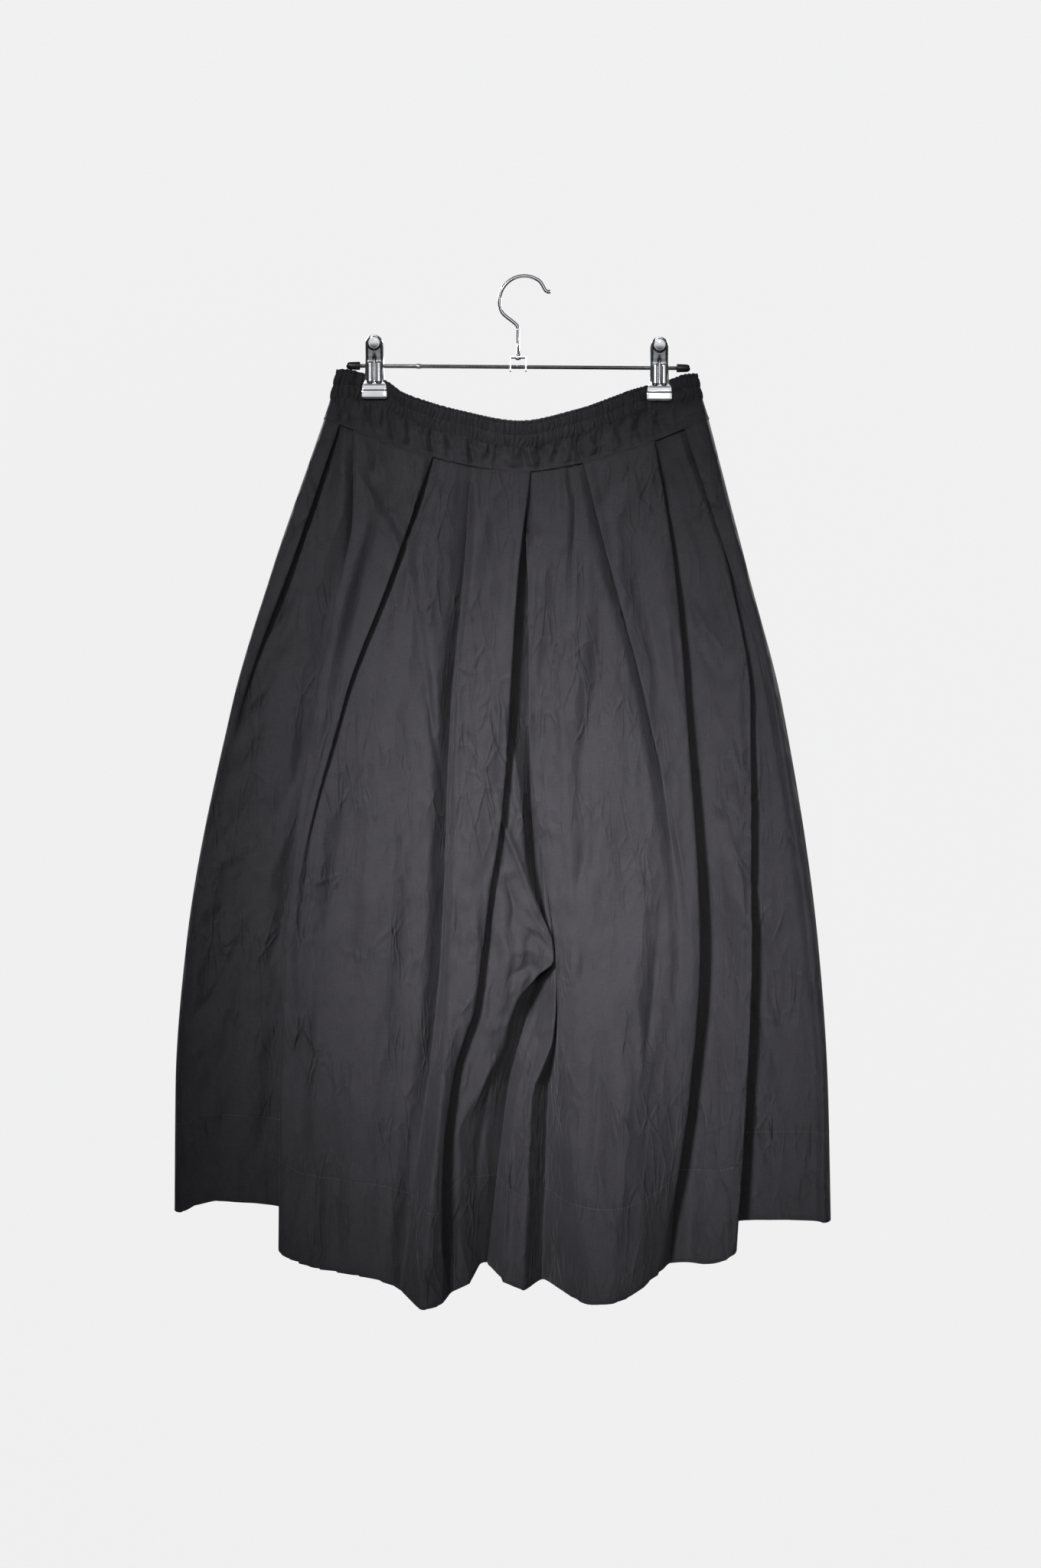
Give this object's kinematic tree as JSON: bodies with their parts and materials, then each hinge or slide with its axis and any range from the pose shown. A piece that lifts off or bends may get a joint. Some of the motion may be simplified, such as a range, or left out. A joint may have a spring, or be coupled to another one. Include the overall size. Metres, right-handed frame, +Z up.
{
  "type": "culottes on a clip hanger",
  "caption": "Wide pleated culottes in black cotton with a gathered elastic waistband and deep hems, hung flat by the waist from a chromed wire clip hanger.",
  "frame": {"origin": "inside top of the hanger's hook, where a rail or peg carries it", "axes": "+Z up, +X to the right as seen from the front, the garment's front faces -Y and its back +Y"},
  "size_m": [0.6188, 0.1149, 0.9586],
  "materials": {
    "black_cotton": "matt woven cotton",
    "chromed_steel": "bright chrome",
    "plated_steel": "zinc plated",
    "black_rubber": "matt"
  },
  "bodies": {
    "root": {"waist_casing_front": "black_cotton", "waist_casing_back": "black_cotton", "yoke_front": "black_cotton", "yoke_back": "black_cotton", "leg_front_left": "black_cotton", "leg_front_right": "black_cotton", "leg_back_left": "black_cotton", "leg_back_right": "black_cotton", "hanger_hook": "chromed_steel", "hanger_bracket": "plated_steel", "hanger_rod": "plated_steel", "hanger_cap_left": "black_rubber", "hanger_cap_right": "black_rubber", "clip_left_front": "chromed_steel", "clip_left_back": "chromed_steel", "clip_left_spring": "plated_steel", "clip_right_front": "chromed_steel", "clip_right_back": "chromed_steel", "clip_right_spring": "plated_steel"}
  },
  "joints": []
}
